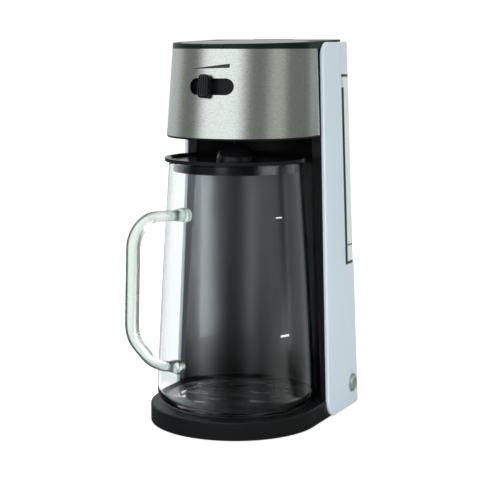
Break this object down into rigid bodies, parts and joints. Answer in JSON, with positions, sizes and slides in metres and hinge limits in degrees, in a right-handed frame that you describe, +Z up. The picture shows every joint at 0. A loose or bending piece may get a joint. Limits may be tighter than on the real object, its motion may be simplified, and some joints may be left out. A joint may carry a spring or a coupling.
{
  "type": "iced tea maker",
  "caption": "Electric iced tea and coffee maker with a steel banded brewing head, hinged round lid, strength slider, rear water tank and a lidded glass pitcher that slides out.",
  "frame": {"origin": "centre of the round front of the base, on the plane the feet stand on", "axes": "+Z up, -Y towards the front where the pitcher slides out, +X towards the side with the power button"},
  "size_m": [0.1614, 0.2214, 0.3392],
  "materials": {
    "body_black": "fine moulded black plastic",
    "lid_black": "smooth black plastic",
    "panel_white": "smooth white plastic",
    "foot_rubber": "moulded rubber",
    "seal_silicone": "grey silicone rubber",
    "screw_steel": "plain steel",
    "band_steel": "horizontally brushed stainless steel",
    "mesh_steel": "woven steel mesh",
    "cast_aluminium": "cast aluminium",
    "button_chrome": "satin chrome",
    "clear_glass": "clear glass with a slight green tint",
    "tank_clear": "translucent pale green plastic"
  },
  "bodies": {
    "machine": {"base_shell": "body_black", "bottom_plate": "body_black", "bottom_screws": "screw_steel", "brew_chamber": "body_black", "button_ring": "button_chrome", "button_spring": "screw_steel", "check_valve": "body_black", "column_housing": "body_black", "cord_gland": "body_black", "drip_spring": "screw_steel", "feed_hose": "seal_silicone", "filter_basket": "body_black", "foot_pads": "foot_rubber", "head_band": "band_steel", "head_housing": "body_black", "heater_block": "cast_aluminium", "heater_bracket": "screw_steel", "heater_element": "screw_steel", "heater_tube": "cast_aluminium", "lid_hinge_pin": "screw_steel", "mesh_filter": "mesh_steel", "outlet_hose": "seal_silicone", "rear_cover": "body_black", "rear_screws": "screw_steel", "riser_tube": "panel_white", "side_panel_left": "panel_white", "side_panel_right": "panel_white", "slider_guide": "body_black", "socket_seal": "seal_silicone", "switch_body": "body_black", "tank_socket": "body_black", "thermal_fuse": "panel_white", "thermostat": "screw_steel", "top_cover": "body_black", "water_spout": "seal_silicone"},
    "brew_lid": {"brew_lid": "lid_black", "spray_tray": "body_black"},
    "strength_slider": {"strength_knob": "lid_black", "slider_plate": "body_black"},
    "power_button": {"power_button": "button_chrome"},
    "drip_stop": {"drip_plunger": "lid_black", "drip_seal": "seal_silicone"},
    "tank": {"tank_body": "tank_clear", "tank_cap": "panel_white", "tank_valve": "body_black", "valve_spring": "screw_steel", "tank_strainer": "panel_white"},
    "pitcher": {"pitcher_glass": "clear_glass", "pitcher_handle": "clear_glass"},
    "pitcher_lid": {"pitcher_lid": "lid_black"}
  },
  "joints": [
    {"name": "lid_hinge", "type": "hinge", "parent": "machine", "child": "brew_lid", "pos_m": [0, 0.0795, 0.3363], "axis": [-1, 0, 0], "range_deg": [0, 90]},
    {"name": "strength_slide", "type": "hinge", "parent": "machine", "child": "strength_slider", "pos_m": [0, 0.01663, 0.29945], "axis": [0, 0, 1], "range_deg": [-10, 16]},
    {"name": "button_press", "type": "slide", "parent": "machine", "child": "power_button", "axis": [-0.9993, 0, -0.038], "range_m": [0, 0.002], "stiffness_N_per_m": 900, "springref_m": -0.0015, "deforming": ["button_spring"]},
    {"name": "drip_lift", "type": "slide", "parent": "machine", "child": "drip_stop", "axis": [0, 0, 1], "range_m": [0, 0.003], "stiffness_N_per_m": 120, "springref_m": -0.003, "deforming": ["drip_spring"]},
    {"name": "tank_slide", "type": "slide", "parent": "machine", "child": "tank", "axis": [0, 1, 0], "range_m": [0, 0.07]},
    {"name": "pitcher_slide", "type": "slide", "parent": "machine", "child": "pitcher", "axis": [0, -1, 0], "range_m": [0, 0.2]},
    {"name": "pitcher_lid_turn", "type": "hinge", "parent": "pitcher", "child": "pitcher_lid", "pos_m": [0, 0.001, 0.2353], "axis": [0, 0, 1], "range_deg": [-90, 90]}
  ]
}
